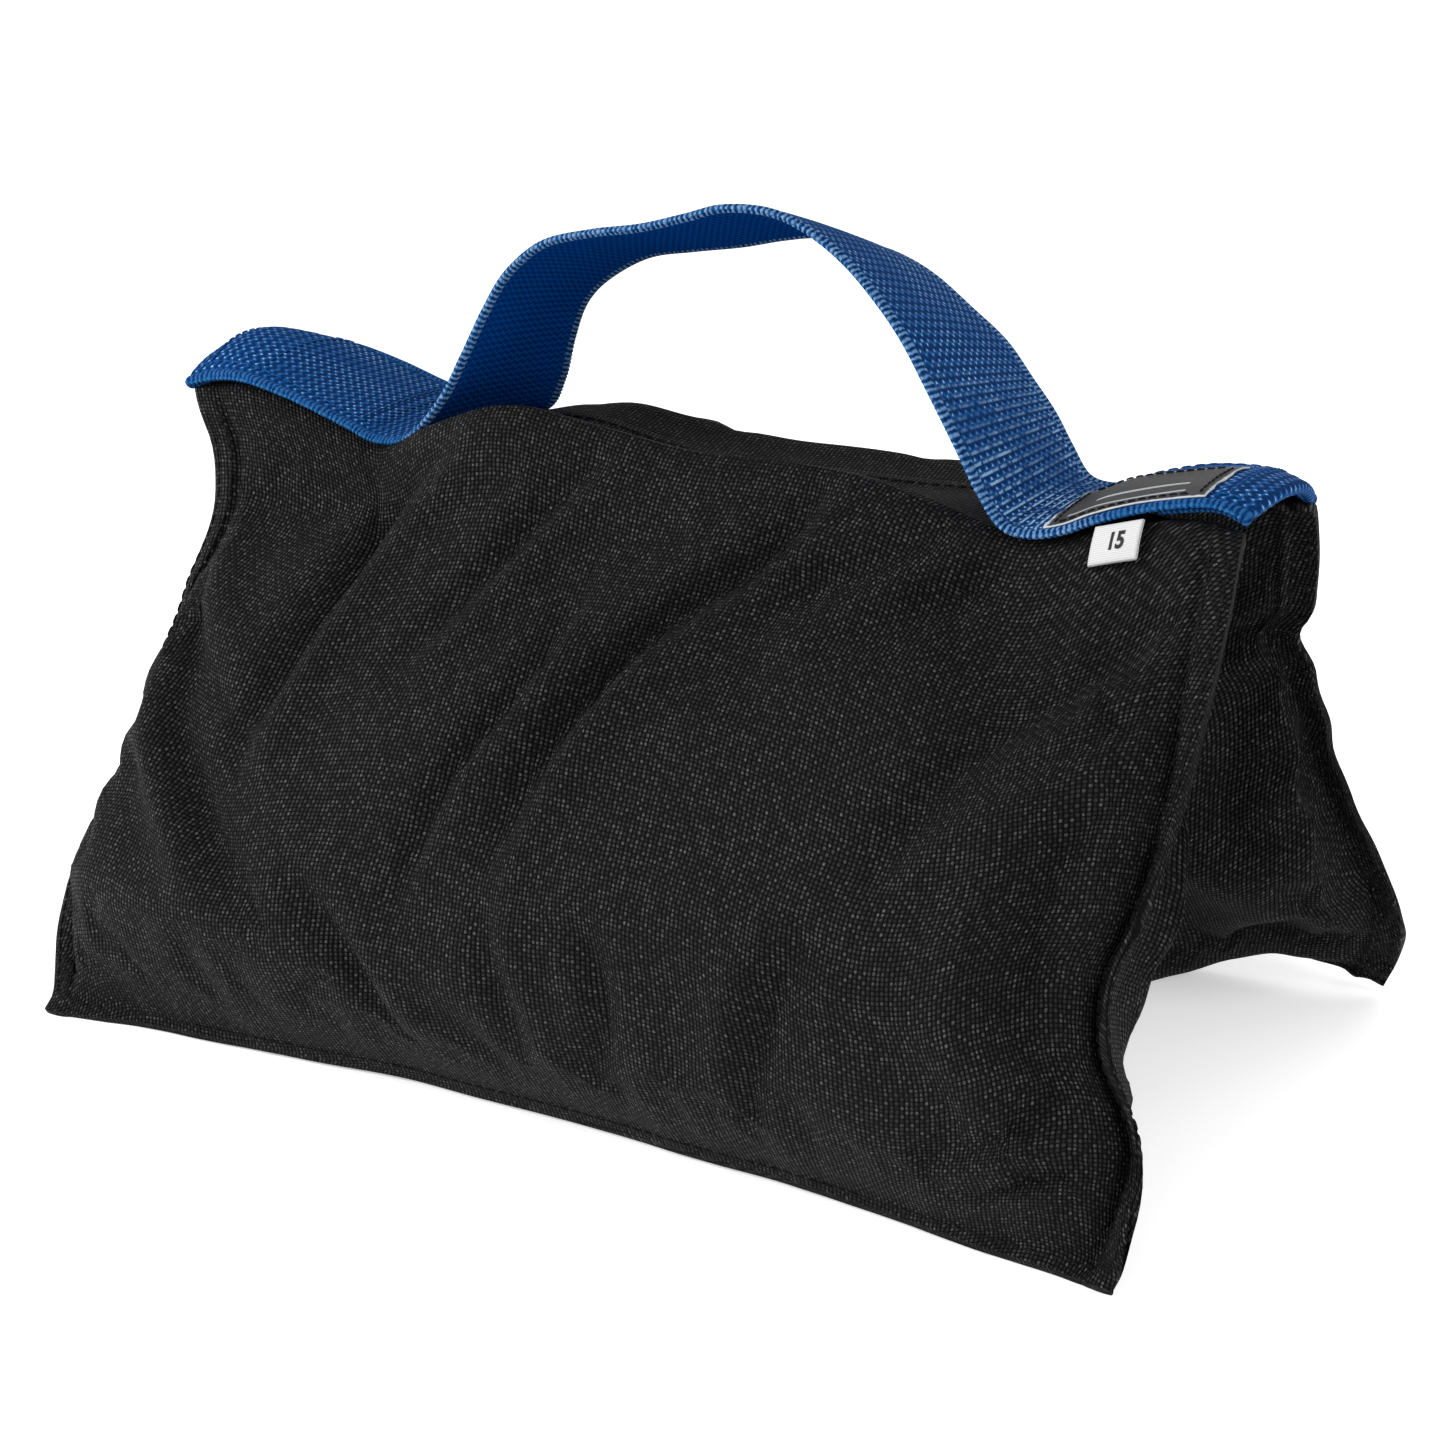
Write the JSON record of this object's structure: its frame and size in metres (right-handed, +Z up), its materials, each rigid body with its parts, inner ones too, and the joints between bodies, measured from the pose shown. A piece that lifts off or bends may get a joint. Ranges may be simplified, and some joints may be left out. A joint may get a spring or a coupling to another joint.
{
  "type": "saddle sandbag",
  "caption": "Saddle sandbag: two filled fabric pouches hang from a webbing ridge with a raised carry handle; it straddles a stand leg or stands as an inverted V.",
  "frame": {"origin": "on the floor under the middle of the bag as it stands", "axes": "+X along the ridge towards the end with the label and tag, -Y towards the front pouch, +Z up"},
  "size_m": [0.298, 0.2046, 0.2059],
  "materials": {
    "nylon": "black coated nylon, plain weave, dull sheen",
    "nylon_inner": "same nylon, inner side",
    "liner": "thin translucent film",
    "sand": "dry loose grains",
    "thread": "black bonded thread",
    "thread_blue": "blue bonded thread",
    "webbing": "blue ribbed webbing with pale flecks",
    "webbing_under": "underside of the webbing, smoother and darker",
    "label": "dark grey woven label with a silvery edge",
    "tag": "white satin tag"
  },
  "bodies": {
    "saddle": {"saddle_bridge": "nylon", "strap_left_run": "webbing", "strap_right_run": "webbing", "strap_hem_left": "webbing_under", "strap_hem_right": "webbing_under", "label_patch": "label", "label_stitching": "thread", "ridge_stitch_front_left": "thread_blue", "ridge_stitch_rear_left": "thread_blue", "hem_stitch_left": "thread_blue", "handle_tack_left": "thread_blue", "ridge_stitch_front_right": "thread_blue", "ridge_stitch_rear_right": "thread_blue", "hem_stitch_right": "thread_blue", "handle_tack_right": "thread_blue"},
    "handle": {"strap_handle": "webbing"},
    "front_pouch": {"front_outer_panel": "nylon", "front_inner_panel": "nylon_inner", "front_liner_bag": "liner", "front_sand_fill": "sand", "front_edge_stitch_left": "thread", "front_seam_stitch_left": "thread", "front_corner_tack_left": "thread", "front_edge_stitch_right": "thread", "front_seam_stitch_right": "thread", "front_corner_tack_right": "thread", "front_bottom_stitch": "thread"},
    "rear_pouch": {"rear_outer_panel": "nylon", "rear_inner_panel": "nylon_inner", "rear_liner_bag": "liner", "rear_sand_fill": "sand", "rear_edge_stitch_left": "thread", "rear_seam_stitch_left": "thread", "rear_corner_tack_left": "thread", "rear_edge_stitch_right": "thread", "rear_seam_stitch_right": "thread", "rear_corner_tack_right": "thread", "rear_bottom_stitch": "thread"},
    "size_tag": {"size_tag": "tag"}
  },
  "joints": [
    {"name": "front_pouch_swing", "type": "hinge", "parent": "saddle", "child": "front_pouch", "pos_m": [0, -0.0228, 0.148], "axis": [1, 0, 0], "range_deg": [-60, 16]},
    {"name": "rear_pouch_swing", "type": "hinge", "parent": "saddle", "child": "rear_pouch", "pos_m": [0, 0.0228, 0.148], "axis": [-1, 0, 0], "range_deg": [-60, 16]},
    {"name": "handle_lean", "type": "hinge", "parent": "saddle", "child": "handle", "pos_m": [0, 0, 0.16], "axis": [1, 0, 0], "range_deg": [-35, 35], "stiffness_Nm_per_rad": 0.05},
    {"name": "tag_flip", "type": "hinge", "parent": "front_pouch", "child": "size_tag", "pos_m": [0.1175, -0.0243, 0.1505], "axis": [-1, 0, 0], "range_deg": [0, 35]}
  ]
}
